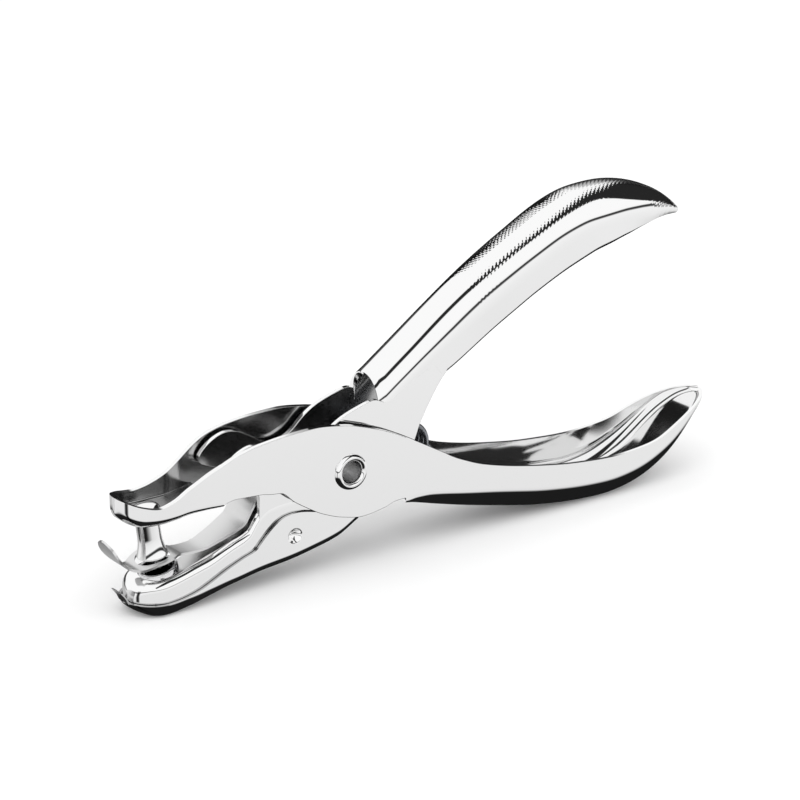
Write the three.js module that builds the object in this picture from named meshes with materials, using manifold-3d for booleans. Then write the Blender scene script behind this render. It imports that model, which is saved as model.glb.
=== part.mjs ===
// A chrome-plated single hole punch of pressed sheet steel, in millimetres, +Z up.
// X runs along the tool, with the jaws at -X and the handles at +X, and Y is the pivot's axis.
// The tool stands on its chip tray and on the belly of its lower handle, at Z = 0.
import * as THREE from 'three';
import { mergeVertices } from 'three/addons/utils/BufferGeometryUtils.js';
import Module from 'manifold-3d';

const wasm = await Module();
wasm.setup();

// Overall layout, measured from the pivot
const jawReach = 46.9;
const handleReach = 90.2;
const cheekRise = 10.3;
const bellyDrop = 19.4;

// Outer lever: one stamping with the upper jaw, the cheeks and the lower handle
const outerSheet = 1.1;
const cheekHalfWidth = 7.1;
const noseHalfWidth = 6;
const waistHalfWidth = 5.2;
const bellyHalfWidth = 8.3;
const upperJawDrop = 1.8;
const noseLength = 6;
const noseLift = 2.4;
const noseLiftLength = 3.6;
const handleTipLength = 22;
const jawBend = 1.9;
const handleBendWidth = 4.2;
const handleBendDepth = 4.5;

// The lower jaw ends a little behind the upper one
const noseSetback = 2;

// Inner lever: one stamping with the upper handle, the inner cheeks and the lower jaw
const innerSheet = 1;
const innerHalfWidth = 5;
const gripHalfWidth = 6.6;
const gripTipLength = 20;
const crownReach = 83.3;
const crownRise = 44.1;
const lowerNoseHalfWidth = 5.7;
const lowerNoseReach = jawReach - noseSetback;
const lowerNoseLength = 6;
const lowerNoseDrop = 2.2;
const lowerNoseDropLength = 3;
const lowerBend = 1.5;

// Pivot eyelet and the gap round it
const eyeletRadius = 2.6;
const eyeletWall = 0.5;
const eyeletRimRadius = 3.5;
const eyeletRimRise = 0.88;
const runningGap = 0.1;
const seatGap = 0.05;

// Punch and die
const punchTilt = THREE.MathUtils.degToRad(7.6);
const punchSetback = 7.7;
const punchReach = jawReach - punchSetback;
const punchTipDrop = 9.7;
const punchTipRadius = 3;
const punchShankRadius = 2.25;
const punchTenonRadius = 1.8;
const punchHeadRadius = 2.7;
const punchHeadHeight = 1;
const punchFlareLength = 4;
const punchHollow = 0.5;
const dieTilt = THREE.MathUtils.degToRad(14.2);
const dieLead = 1.1;
const dieReach = punchReach - dieLead;
const dieClearance = 0.25;
const dieWall = 0.6;
const dieEdgeShare = 0.35;
const dieRise = 0.8;
const dieFlange = 0.4;
const dieFlangeHeight = 0.6;

// Paper stripper, a leaf of thin sheet over the lower jaw
const leafSheet = 0.45;
const leafEyeRadius = 4.2;
const leafHoleRadius = 3.35;
const leafTailHalfWidth = 3.7;
const leafTilt = THREE.MathUtils.degToRad(8);

// Chip tray, clipped over the lower jaw
const traySheet = 0.5;
const trayGap = 0.15;
const trayNoseReach = lowerNoseReach + trayGap + traySheet;
const trayNoseLength = 6;
const trayBend = 1.6;
const trayFloorDrop = 20.1;
const trayRimDrop = 17.4;
const trayPivotReach = 11.6;
const trayPivotDrop = 10.8;
const dimpleRadius = 1.6;
const dimpleDepth = 1.2;
const dimplePitRadius = 1.3;
const dimplePitDepth = 1.2;
const thumbTabHalfWidth = 1.7;

// Return spring, a coil of round wire in the crotch with a leg under each handle
const wireRadius = 0.5;
const coilRadius = 3.9;
const coilTurns = 4;
const coilPitch = 1.46;
const coilReach = 16.6;
const coilRise = 0.4;
const springSeatReach = 33;
const springSeatSpread = 1.2;
const springCrownGap = 0.5;
const springFootGap = 0.15;
const wireSides = 5;
const stepsPerTurn = 8;

// Facets and cuts
const overrun = 5;
const throughCut = 40;
const roundSegments = 32;
const bendSegments = 6;
const endSteps = 7;
const endLead = 0.25;
const roundSteps = 4;
const flareSteps = 6;
const rimSteps = 8;
const gripEdgeSteps = 26;
const tabSteps = 8;
const slopeSteps = 400;
const mergeDistance = 1e-4;
const bendFloorShare = 0.3;
const springTolerance = 2;

const chrome = { color: 0xd8dadc, metalness: 1, roughness: 0.08 };
const steel = { color: 0xb9bcc0, metalness: 1, roughness: 0.2 };

// Closed geometry to solid, and back
function solid(geometry) {
  const bare = new THREE.BufferGeometry();
  bare.setAttribute('position', geometry.getAttribute('position').clone());
  if (geometry.index) bare.setIndex(geometry.index.clone());
  const merged = mergeVertices(bare, mergeDistance);
  const mesh = new wasm.Mesh({
    numProp: 3,
    vertProperties: new Float32Array(merged.getAttribute('position').array),
    triVerts: new Uint32Array(merged.index.array),
  });
  return new wasm.Manifold(mesh);
}

function geometryOf(body) {
  const mesh = body.getMesh();
  const geometry = new THREE.BufferGeometry();
  geometry.setAttribute('position', new THREE.BufferAttribute(mesh.vertProperties, mesh.numProp));
  geometry.setIndex(new THREE.BufferAttribute(mesh.triVerts, 1));
  const flat = geometry.toNonIndexed();
  flat.computeVertexNormals();
  return flat;
}

// A smooth curve z(x) through points given as [x share, z share] of the two sizes
function curveOf(shares, xSize, zSize) {
  const points = shares.map(([x, z]) => [x * xSize, z * zSize]).sort((a, b) => a[0] - b[0]);
  const slopes = points.map((point, i) => {
    if (i === 0 || i === points.length - 1) {
      const [a, b] = i === 0 ? [points[0], points[1]] : [points[i - 1], points[i]];
      return (b[1] - a[1]) / (b[0] - a[0]);
    }
    const before = (point[1] - points[i - 1][1]) / (point[0] - points[i - 1][0]);
    const after = (points[i + 1][1] - point[1]) / (points[i + 1][0] - point[0]);
    return before * after <= 0 ? 0 : (2 * before * after) / (before + after);
  });
  return (x) => {
    const last = points.length - 1;
    if (x <= points[0][0]) return points[0][1] + slopes[0] * (x - points[0][0]);
    if (x >= points[last][0]) return points[last][1] + slopes[last] * (x - points[last][0]);
    const i = points.findIndex((point, k) => k < last && x <= points[k + 1][0]);
    const span = points[i + 1][0] - points[i][0];
    const t = (x - points[i][0]) / span;
    const rise = points[i + 1][1] - points[i][1];
    const ease = t * t * (3 - 2 * t);
    const leave = t * (1 - t) * (1 - t) * slopes[i] * span;
    const arrive = t * t * (t - 1) * slopes[i + 1] * span;
    return points[i][1] + rise * ease + leave + arrive;
  };
}

// Quarter of an ellipse: 0 at the end of a rounded piece, 1 where the rounding is over
function roundEnd(distance, length) {
  const share = Math.min(Math.max(distance / length, 0), 1);
  return Math.sqrt(1 - (1 - share) ** 2);
}

// Distances from a rounded end, close together where it turns
function endDistances(length) {
  return Array.from({ length: endSteps }, (_, i) => {
    const angle = (Math.PI / 2) * ((i + endLead) / (endSteps - 1 + endLead));
    return length * (1 - Math.cos(angle));
  });
}

// Half section of a channel as [across, down] points, from the web's middle to the flange edge.
// The bend is a quarter ellipse, or a squarer one where fullness is over 1.
function halfSection({ halfWidth, depth, bendWidth, bendDepth, fullness = 1 }) {
  const wide = Math.min(bendWidth, halfWidth);
  const deep = Math.min(bendDepth, depth);
  const points = [[0, 0]];
  for (let i = 0; i <= bendSegments; i++) {
    const angle = (Math.PI / 2) * (i / bendSegments);
    const across = Math.sin(angle) ** (1 / fullness);
    const down = 1 - Math.max(Math.cos(angle), 0) ** (1 / fullness);
    points.push([halfWidth - wide * (1 - across), deep * down]);
  }
  points.push([halfWidth, depth]);
  return points;
}

// Closed body lofted through full sections. A station has its web point (x, z), the unit
// direction from the web to the flange edges (downX, downZ) and the sizes of its section.
function loft(stations) {
  const rings = stations.map((station) => {
    const half = halfSection(station);
    const across = [...half.slice(1).reverse().map(([y, down]) => [-y, down]), ...half];
    return across.map(([y, down]) => [
      station.x + station.downX * down,
      y,
      station.z + station.downZ * down,
    ]);
  });
  return skin(rings);
}

// Closed body through rings of as many points, with flat ends
function skin(rings) {
  const size = rings[0].length;
  const positions = rings.flat(2);
  const index = [];
  for (let i = 0; i < rings.length - 1; i++) {
    for (let j = 0; j < size; j++) {
      const a = i * size + j;
      const b = i * size + ((j + 1) % size);
      index.push(a, b, b + size, a, b + size, a + size);
    }
  }
  for (let j = 1; j < size - 1; j++) {
    const end = (rings.length - 1) * size;
    index.push(0, j + 1, j);
    index.push(end, end + j, end + j + 1);
  }
  const geometry = new THREE.BufferGeometry();
  geometry.setAttribute('position', new THREE.Float32BufferAttribute(positions, 3));
  geometry.setIndex(index);
  return outward(geometry);
}

// Turns a closed geometry so that its faces point out
function outward(geometry) {
  const p = geometry.getAttribute('position').array;
  const index = geometry.index.array;
  let volume = 0;
  for (let i = 0; i < index.length; i += 3) {
    const [a, b, c] = [index[i] * 3, index[i + 1] * 3, index[i + 2] * 3];
    volume += p[a] * (p[b + 1] * p[c + 2] - p[b + 2] * p[c + 1]);
    volume += p[a + 1] * (p[b + 2] * p[c] - p[b] * p[c + 2]);
    volume += p[a + 2] * (p[b] * p[c + 1] - p[b + 1] * p[c]);
  }
  if (volume < 0) {
    for (let i = 0; i < index.length; i += 3) {
      [index[i + 1], index[i + 2]] = [index[i + 2], index[i + 1]];
    }
  }
  return geometry;
}

// Sheet channel: its outer body less the same body drawn in by the sheet's thickness
function channel(stationsAt, sheet) {
  return solid(loft(stationsAt(0))).subtract(solid(loft(stationsAt(sheet))));
}

// Plate whose outline lies in the side view, from one Y to another
function sidePlate(points, fromY, toY) {
  const shape = new THREE.Shape(points.map(([x, z]) => new THREE.Vector2(x, z)));
  const geometry = new THREE.ExtrudeGeometry(shape, { depth: toY - fromY, bevelEnabled: false });
  geometry.rotateX(Math.PI / 2);
  geometry.translate(0, toY, 0);
  return solid(geometry);
}

// Points of a smooth line through the given ones
function smooth(points, steps) {
  const curve = new THREE.CatmullRomCurve3(
    points.map(([x, z]) => new THREE.Vector3(x, 0, z)), false, 'centripetal');
  return curve.getPoints(steps).map((point) => [point.x, point.z]);
}

// Round bar along Y, at a place in the side view
function crossBar(radius, x, z, fromY, toY) {
  const geometry = new THREE.CylinderGeometry(radius, radius, toY - fromY, roundSegments);
  geometry.translate(x, (fromY + toY) / 2, z);
  return solid(geometry);
}

// Turned piece from a [radius, height] profile that closes on itself or on the axis
function turned(profile) {
  return new THREE.LatheGeometry(
    profile.map(([radius, height]) => new THREE.Vector2(radius, height)), roundSegments);
}

function places(shares, xSize, zSize) {
  return shares.map(([x, z]) => [x * xSize, z * zSize]);
}

// Outer lever

const rimFrontShares = [[-1, 0.31], [-0.94, 0.21], [-0.86, 0.14], [-0.81, 0.175], [-0.715, 0.35],
  [-0.61, 0.62], [-0.51, 0.835], [-0.41, 0.935], [-0.275, 0.99], [-0.17, 1], [-0.02, 0.91],
  [0.076, 0.78], [0.175, 0.61], [0.276, 0.38], [0.41, 0.03], [0.53, -0.29]];
const rimRearShares = [[0.278, -0.155], [0.33, -0.26], [0.456, -0.407], [0.59, -0.505],
  [0.7, -0.54], [0.77, -0.52], [0.81, -0.495], [0.875, -0.38], [0.93, -0.29], [1, -0.2]];
const rimFront = curveOf(rimFrontShares, jawReach, cheekRise);
const rimRear = curveOf(rimRearShares, handleReach, bellyDrop);
const rimJoinShare = 0.278;
const rim = (x) => (x < rimJoinShare * handleReach ? rimFront(x) : rimRear(x));

const bellyShares = [[0.1, -0.44], [0.14, -0.475], [0.21, -0.59], [0.316, -0.735],
  [0.423, -0.855], [0.503, -0.93], [0.62, -0.99], [0.68, -1], [0.744, -0.965], [0.803, -0.88],
  [0.851, -0.755], [0.896, -0.59], [0.93, -0.46], [0.965, -0.35], [1, -0.27]];
const belly = curveOf(bellyShares, handleReach, bellyDrop);
const jawFloorShares = [[-1, -1.1], [-0.85, -1.08], [-0.72, -0.87], [-0.585, -0.58]];
const jawFloor = curveOf(jawFloorShares, jawReach, upperJawDrop);
const jawFloorEndShare = -0.585;
const webDropShare = -0.85;

function outerBottom(x, inset) {
  const floorEnd = jawFloorEndShare * jawReach;
  if (x < floorEnd) {
    const tip = -jawReach + inset;
    return jawFloor(x) + noseLift * (1 - roundEnd(x - tip, noseLiftLength - inset));
  }
  if (x >= bellyShares[1][0] * handleReach) return belly(x);
  return webDropShare * bellyDrop;
}

const handleHalfShares = [[0.18, 0.855], [0.33, 0.9], [0.5, 0.965], [0.65, 1], [0.72, 1]];
const handleHalf = curveOf(handleHalfShares, handleReach, bellyHalfWidth);
const waistShares = [[-0.88, 1], [-0.79, 0.94], [-0.72, 0.87], [-0.66, 0.92], [-0.58, 1.06],
  [-0.49, 1.15], [-0.4, 1.18]];
const waistHalf = curveOf(waistShares, jawReach, noseHalfWidth);

function outerHalf(x, inset) {
  const tip = -jawReach + inset;
  const end = handleReach - inset;
  const waistEnd = waistShares.at(-1)[0] * jawReach;
  let half = cheekHalfWidth;
  if (x < waistShares[0][0] * jawReach) half = noseHalfWidth;
  else if (x < waistEnd) half = Math.max(waistHalf(x), waistHalfWidth);
  else if (x > handleHalfShares[0][0] * handleReach) half = Math.max(handleHalf(x), cheekHalfWidth);
  if (x > handleHalfShares.at(-1)[0] * handleReach) half = bellyHalfWidth;
  const nose = roundEnd(x - tip, noseLength - inset);
  const tail = roundEnd(end - x, handleTipLength - inset);
  return (half - inset) * nose * tail;
}

const handleBendShares = [[0.1, 0.5], [0.18, 0.64], [0.27, 0.76], [0.4, 0.96], [0.5, 1],
  [0.8, 1], [0.9, 0.75], [1, 0.5]];
const handleBend = curveOf(handleBendShares, handleReach, 1);

const outerStationShares = [-0.84, -0.8, -0.76, -0.72, -0.68, -0.64, -0.6, -0.586, -0.584, -0.54,
  -0.5, -0.45, -0.4, -0.34, -0.28, -0.22, -0.15, -0.08, 0, 0.08, 0.16, 0.24];
const handleStationShares = [0.139, 0.141, 0.17, 0.2, 0.24, 0.28, 0.33, 0.39, 0.45, 0.51, 0.57,
  0.63, 0.69, 0.74];

function outerStations(inset) {
  const xs = [
    ...endDistances(noseLength - inset).map((d) => -jawReach + inset + d),
    ...outerStationShares.map((share) => share * jawReach),
    ...handleStationShares.map((share) => share * handleReach),
    ...endDistances(handleTipLength - inset).reverse().map((d) => handleReach - inset - d),
  ].sort((a, b) => a - b);
  return xs.map((x) => {
    const z = outerBottom(x, inset) + inset;
    const onHandle = x > bellyShares[0][0] * handleReach;
    const bendWidth = onHandle ? handleBend(x) * handleBendWidth : jawBend;
    const bendDepth = onHandle ? handleBend(x) * handleBendDepth : jawBend;
    return {
      x,
      z,
      downX: 0,
      downZ: 1,
      halfWidth: outerHalf(x, inset),
      depth: rim(x) - z + (inset > 0 ? overrun : 0),
      bendWidth: bendWidth - inset,
      bendDepth: Math.max(bendDepth - inset, bendFloorShare * bendDepth),
    };
  });
}

// What is trimmed off below the cheeks, where the inner lever passes through
const windowFrontShares = [[-0.6, -0.13], [-0.586, -0.09], [-0.57, -0.04], [-0.53, 0],
  [-0.42, -0.02], [-0.375, -0.06], [-0.328, -0.05], [-0.27, -0.31], [-0.19, -0.55], [-0.14, -0.68],
  [-0.04, -0.855], [0.06, -0.94], [0.16, -0.885], [0.22, -0.79], [0.262, -0.75], [0.272, -0.83],
  [0.28, -1.1]];
const windowCut = [
  ...places(windowFrontShares, jawReach, cheekRise),
  [jawReach * windowFrontShares.at(-1)[0], -throughCut],
  [jawReach * windowFrontShares[0][0], -throughCut],
];

const punchFoot = { x: -punchReach, z: -punchTipDrop };

// Turned piece that stands tilted at a place in the side view
function standing(profile, tilt, { x, z }) {
  const geometry = turned(profile);
  geometry.rotateX(Math.PI / 2);
  geometry.rotateY(-tilt);
  geometry.translate(x, 0, z);
  return solid(geometry);
}

const punchTop = (punchTipDrop + jawFloor(-punchReach)) / Math.cos(punchTilt);

function makeOuterLever() {
  let lever = channel(outerStations, outerSheet);
  lever = lever.subtract(sidePlate(windowCut, -throughCut, throughCut));
  lever = lever.subtract(crossBar(eyeletRadius + runningGap, 0, 0, -throughCut, throughCut));
  const tenonHole = [
    [0, punchTop - overrun / 2], [punchTenonRadius + seatGap, punchTop - overrun / 2],
    [punchTenonRadius + seatGap, punchTop + overrun / 2], [0, punchTop + overrun / 2],
  ];
  return lever.subtract(standing(tenonHole, punchTilt, punchFoot));
}

// Inner lever

const crownShares = [[0.03, 0.265], [0.09, 0.36], [0.172, 0.469], [0.27, 0.599], [0.37, 0.721],
  [0.508, 0.86], [0.616, 0.957], [0.687, 0.993], [0.768, 1], [0.832, 0.984], [0.9, 0.939],
  [0.952, 0.88], [1, 0.798]];
const crown = curveOf(crownShares, crownReach, crownRise);
const gripHalfShares = [[0, 0.76], [0.25, 0.76], [0.45, 0.85], [0.65, 0.96], [0.75, 1], [1, 1]];
const gripHalf = curveOf(gripHalfShares, crownReach, gripHalfWidth);
const gripDepth = 13;
const gripDepthShares = [[0.04, 0.6], [0.12, 0.8], [0.3, 1], [0.66, 1], [0.8, 0.7], [0.9, 0.42],
  [0.96, 0.28], [1, 0.2]];
const gripDepthAt = curveOf(gripDepthShares, crownReach, gripDepth);
const shoulderDepth = 7.7;
const shoulderShares = [[0.04, 0.5], [0.1, 0.54], [0.17, 0.66], [0.28, 0.86], [0.4, 1], [0.5, 0.99],
  [0.61, 0.97], [0.71, 0.86], [0.84, 0.77], [0.9, 0.58], [0.96, 0.32], [1, 0.14]];
const shoulderAt = curveOf(shoulderShares, crownReach, shoulderDepth);
const crownFullness = 1.25;
const fullnessShares = [[0, 0.8], [0.2, 0.84], [0.35, 0.92], [0.5, 1], [1, 1]];
const fullnessAt = curveOf(fullnessShares, crownReach, crownFullness);

// A frame on the crown line at x: the point, and the unit direction into the channel
function crownFrame(x, inset) {
  const step = crownReach / slopeSteps;
  const slope = (crown(x + step) - crown(x - step)) / (2 * step);
  const size = Math.hypot(1, slope);
  const downX = slope / size;
  const downZ = -1 / size;
  return { x: x + downX * inset, z: crown(x) + downZ * inset, downX, downZ };
}

const gripStationShares = [0.04, 0.07, 0.1, 0.14, 0.178, 0.205, 0.24, 0.28, 0.34, 0.4, 0.46, 0.52,
  0.58, 0.64, 0.7];

function gripStations(inset) {
  const xs = [
    ...gripStationShares.map((share) => share * crownReach),
    ...endDistances(gripTipLength - inset).reverse().map((d) => crownReach - inset - d),
  ].sort((a, b) => a - b);
  return xs.map((x) => {
    const frame = crownFrame(x, inset);
    const tail = roundEnd(crownReach - inset - x, gripTipLength - inset);
    const half = Math.max(gripHalf(x), innerHalfWidth) - inset;
    return {
      ...frame,
      halfWidth: half * tail,
      depth: gripDepthAt(x) - inset + (inset > 0 ? overrun : 0),
      bendWidth: half * tail,
      bendDepth: Math.max(shoulderAt(x) - inset, bendFloorShare * shoulderAt(x)),
      fullness: fullnessAt(x),
    };
  });
}

const lowerTop = 13.2;
const lowerTopShares = [[-1, -1.045], [-0.93, -1.018], [-0.857, -0.985], [-0.753, -0.905], [-0.657, -0.833],
  [-0.55, -0.705], [-0.474, -0.598], [-0.441, -0.447], [-0.41, -0.318], [-0.37, -0.242],
  [-0.31, -0.212], [-0.22, -0.205]];
const lowerTopAt = curveOf(lowerTopShares, lowerNoseReach, lowerTop);
const lowerEdge = 18.2;
const lowerEdgeShares = [[-1, -0.96], [-0.87, -1], [-0.67, -0.9], [-0.49, -0.8], [-0.36, -0.725],
  [-0.22, -0.67]];
const lowerEdgeAt = curveOf(lowerEdgeShares, lowerNoseReach, lowerEdge);
const lowerHalfShares = [[-1, 1], [-0.78, 1], [-0.68, 0.96], [-0.56, 0.877], [-0.22, 0.877]];
const lowerHalfAt = curveOf(lowerHalfShares, lowerNoseReach, lowerNoseHalfWidth);
const lowerStationShares = [-0.857, -0.8, -0.753, -0.7, -0.657, -0.6, -0.55, -0.51, -0.474,
  -0.458, -0.441, -0.426, -0.41, -0.39, -0.37, -0.34, -0.31, -0.27, -0.235];

function lowerStations(inset) {
  const tip = -lowerNoseReach + inset;
  const xs = [
    ...endDistances(lowerNoseLength - inset).map((d) => tip + d),
    ...lowerStationShares.map((share) => share * lowerNoseReach),
  ].sort((a, b) => a - b);
  if (inset > 0) xs.push(xs[xs.length - 1] + overrun / 2);
  return xs.map((x) => {
    const round = roundEnd(x - tip, lowerNoseLength - inset);
    const bow = roundEnd(x - tip, lowerNoseDropLength - inset);
    const z = lowerTopAt(x) - lowerNoseDrop * (1 - bow) - inset;
    return {
      x,
      z,
      downX: 0,
      downZ: -1,
      halfWidth: (Math.max(lowerHalfAt(x), innerHalfWidth) - inset) * round,
      depth: z - lowerEdgeAt(x) + (inset > 0 ? overrun : 0),
      bendWidth: lowerBend - inset,
      bendDepth: lowerBend - inset,
    };
  });
}

// Side outline of the inner cheeks, from the arch of the upper handle round by the front
const cheekSize = 24;
const cheekShares = [[0.296, 0.508], [0.167, 0.483], [0.054, 0.45], [-0.05, 0.408],
  [-0.154, 0.338], [-0.246, 0.246], [-0.375, 0.19], [-0.5, 0.208], [-0.646, 0.308], [-0.75, 0.36],
  [-0.8625, 0.378], [-0.98, 0.335], [-1.07, 0.265], [-1.105, 0.21], [-1.08, 0.15],
  [-0.97, 0.11], [-0.85, 0.06], [-0.8, -0.02], [-0.785, -0.125], [-0.8, -0.36], [-0.86, -0.56],
  [-0.667, -0.575], [-0.52, -0.565], [-0.375, -0.5], [-0.21, -0.36], [0, -0.29],
  [0.21, -0.22], [0.375, -0.083], [0.54, 0], [0.66, 0.06], [0.69, 0.13], [0.708, 0.22],
  [0.75, 0.275], [0.82, 0.39], [0.94, 0.555], [1.06, 0.655], [1.05, 0.84], [0.75, 0.68],
  [0.45, 0.56]];
const cheekOutline = places(cheekShares, cheekSize, cheekSize);

// Trims the upper handle's front end to the slanted arch that the side view shows
const archShares = [[-1.2, 0], [0.54, 0.16], [0.296, 0.508], [0.34, 0.65], [0.36, 1.2],
  [-1.2, 1.2]];
const archTrim = places(archShares, cheekSize, cheekSize);

// Trims the upper handle's flanges along their lower edge
const gripEdgeShares = [[0.05, 0.15], [0.292, 0.336], [0.33, 0.381], [0.389, 0.444], [0.442, 0.501],
  [0.558, 0.618], [0.646, 0.707], [0.707, 0.748], [0.77, 0.785], [0.82, 0.815], [0.884, 0.834],
  [0.94, 0.842], [0.972, 0.825], [1, 0.792]];
const gripEdge = smooth(places(gripEdgeShares, crownReach, crownRise), gripEdgeSteps);
const gripTrim = [
  ...gripEdge,
  [crownReach + overrun, gripEdge.at(-1)[1] - overrun],
  [crownReach + overrun, -throughCut],
  [gripEdge[0][0], -throughCut],
];

const trayHinge = { x: -trayPivotReach, z: -trayPivotDrop };
const dieFoot = { x: -dieReach, z: lowerTopAt(-dieReach) };
const dieBore = punchTipRadius + dieClearance;
const dieOuter = dieBore + dieWall;

function makeInnerLever() {
  let lever = channel(gripStations, innerSheet);
  lever = lever.subtract(sidePlate(archTrim, -throughCut, throughCut));
  lever = lever.subtract(sidePlate(gripTrim, -throughCut, throughCut));
  lever = lever.add(channel(lowerStations, innerSheet));
  const face = innerHalfWidth;
  const back = innerHalfWidth - innerSheet;
  lever = lever.add(sidePlate(cheekOutline, back, face));
  lever = lever.add(sidePlate(cheekOutline, -face, -back));
  lever = lever.subtract(crossBar(eyeletRadius + runningGap, 0, 0, -throughCut, throughCut));
  const hinge = crossBar(dimpleRadius + runningGap, trayHinge.x, trayHinge.z,
    -throughCut, throughCut);
  lever = lever.subtract(hinge);
  const dieHole = [
    [0, -overrun], [dieOuter + seatGap, -overrun], [dieOuter + seatGap, overrun], [0, overrun],
  ];
  return lever.subtract(standing(dieHole, dieTilt, dieFoot));
}

// Pivot eyelet: a tube with a rolled rim at each end
function makePivotRivet() {
  const faceY = cheekHalfWidth + seatGap;
  const bore = eyeletRadius - eyeletWall;
  const rimCentre = (eyeletRimRadius + bore) / 2;
  const rimHalf = (eyeletRimRadius - bore) / 2;
  const rimArc = Array.from({ length: rimSteps + 1 }, (_, i) => {
    const angle = Math.PI * (i / rimSteps);
    return [rimCentre + rimHalf * Math.cos(angle), eyeletRimRise * Math.sin(angle)];
  });
  const profile = [
    ...rimArc.map(([radius, rise]) => [radius, faceY + rise]),
    ...rimArc.reverse().map(([radius, rise]) => [radius, -faceY - rise]),
    [eyeletRadius, -faceY],
    [eyeletRadius, faceY],
    [eyeletRimRadius, faceY],
  ];
  return solid(turned(profile));
}

// Punch: a headed tenon through the jaw's floor, a shank and a flared cutting end
function makePunch() {
  const shoulder = punchTop - seatGap - punchTipRadius * Math.tan(punchTilt);
  const floorTop = punchTop + (outerSheet + seatGap) / Math.cos(punchTilt);
  const headFoot = floorTop + punchHeadRadius * Math.tan(punchTilt);
  const flare = Array.from({ length: flareSteps + 1 }, (_, i) => {
    const share = i / flareSteps;
    const radius = punchShankRadius + (punchTipRadius - punchShankRadius) * (1 - share) ** 2;
    return [radius, share * punchFlareLength];
  });
  const head = Array.from({ length: roundSteps + 1 }, (_, i) => {
    const angle = (Math.PI / 2) * (i / roundSteps);
    return [punchHeadRadius * Math.cos(angle), headFoot + punchHeadHeight * Math.sin(angle)];
  });
  const profile = [
    [0, punchHollow],
    ...flare,
    [punchShankRadius, shoulder],
    [punchTenonRadius, shoulder],
    [punchTenonRadius, headFoot],
    ...head.slice(0, -1),
    [0, headFoot + punchHeadHeight],
  ];
  return standing(profile, punchTilt, punchFoot);
}

// Die bush: a collar through the lower jaw's web, held by a small flange below it
function makeDieBush() {
  const under = -(innerSheet + seatGap) / Math.cos(dieTilt);
  const foot = under - dieFlangeHeight;
  const edge = dieEdgeShare * dieWall;
  const profile = [
    [dieBore, foot], [dieOuter + dieFlange, foot], [dieOuter + dieFlange, under],
    [dieOuter, under], [dieOuter, dieRise - edge], [dieOuter - edge, dieRise],
    [dieBore, dieRise], [dieBore, foot],
  ];
  return standing(profile, dieTilt, dieFoot);
}

// Paper stripper: a bent leaf with an eye round the punch and an upturned lip in front. Each
// station has its place along the jaw, its height and its half width.
const leafShares = [[-1.26, -0.468, 0.11], [-1.256, -0.507, 0.41], [-1.247, -0.576, 0.61],
  [-1.235, -0.673, 0.72], [-1.222, -0.76, 0.73], [-1.204, -0.85, 0.68], [-1.181, -0.94, 0.58],
  [-1.155, -1.02, 0.52], [-1.13, -1.075, 0.54], [-1.108, -1.09, 0.64], [-1.088, -1.08, 0.78],
  [-1.06, -1.045, 0.9], [-1.03, -1.01, 0.97], [-1, -0.99, 1], [-0.97, -0.975, 0.97],
  [-0.94, -0.965, 0.89], [-0.915, -0.96, 0.76], [-0.895, -0.97, 0.62], [-0.875, -0.985, 0.55],
  [-0.82, -1, 0.54], [-0.75, -0.985, 0.6], [-0.69, -0.91, 0.68], [-0.63, -0.82, 0.77],
  [-0.582, -0.735, 0.85], [-0.546, -0.655, 0.88], [-0.523, -0.53, 0.88], [-0.505, -0.42, 0.88],
  [-0.475, -0.283, 0.88], [-0.434, -0.248, 0.88]];
const leafRise = 10.25;
const leafHoleShare = -0.985;
const leafTailReach = 11.5;

function makePaperStripper() {
  const tailZ = lowerTopAt(-leafTailReach) + seatGap + leafSheet / 2;
  const spine = [
    ...leafShares.map(([x, z, half]) => [x * punchReach, z * leafRise, half * leafEyeRadius]),
    [-leafTailReach, tailZ, leafTailHalfWidth],
  ];
  const leaf = solid(skin(spine.map(([x, z, half], i) => {
    const [ax, az] = spine[Math.max(i - 1, 0)];
    const [bx, bz] = spine[Math.min(i + 1, spine.length - 1)];
    const size = Math.hypot(bx - ax, bz - az) * 2;
    const upX = (-(bz - az) * leafSheet) / size;
    const upZ = ((bx - ax) * leafSheet) / size;
    return [
      [x - upX, -half, z - upZ], [x - upX, half, z - upZ],
      [x + upX, half, z + upZ], [x + upX, -half, z + upZ],
    ];
  })));
  const hole = [
    [0, -overrun / 2], [leafHoleRadius, -overrun / 2], [leafHoleRadius, overrun / 2],
    [0, overrun / 2],
  ];
  return leaf.subtract(standing(hole, leafTilt, { x: -punchReach, z: leafHoleShare * leafRise }));
}

// The thumb tab's upper face, from its free end to the tray's nose
const thumbTabShares = [[-1.036, -0.745], [-1.026, -0.775], [-1.012, -0.82], [-1.004, -0.86]];
const tabSlant = 0.3;

// Chip tray: a thin channel round the lower jaw from below, with ears on its hinge
const trayRimShares = [[-1, -1], [-0.893, -1], [-0.838, -0.995], [-0.744, -0.954],
  [-0.623, -0.845], [-0.498, -0.72], [-0.444, -0.672], [-0.42, -0.61], [-0.365, -0.471],
  [-0.322, -0.394], [-0.295, -0.368], [-0.252, -0.356], [-0.13, -0.417], [0.07, -0.563]];
const trayRim = curveOf(trayRimShares, trayNoseReach, trayRimDrop);
const trayFloorShares = [[-1, -0.96], [-0.952, -0.98], [-0.913, -0.995], [-0.854, -1],
  [-0.76, -0.967], [-0.66, -0.917], [-0.555, -0.87], [-0.417, -0.815], [-0.272, -0.78],
  [-0.17, -0.741], [-0.04, -0.672], [0.062, -0.55]];
const trayFloor = curveOf(trayFloorShares, trayNoseReach, trayFloorDrop);
const trayTailShare = 0.062;
const trayStationShares = [-0.86, -0.82, -0.77, -0.72, -0.66, -0.6, -0.54, -0.49, -0.45, -0.437,
  -0.415, -0.39, -0.36, -0.335, -0.318, -0.29, -0.25, -0.2, -0.14, -0.08, -0.02, 0.03, 0.062];
const trayNoseLift = 1.6;

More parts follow.
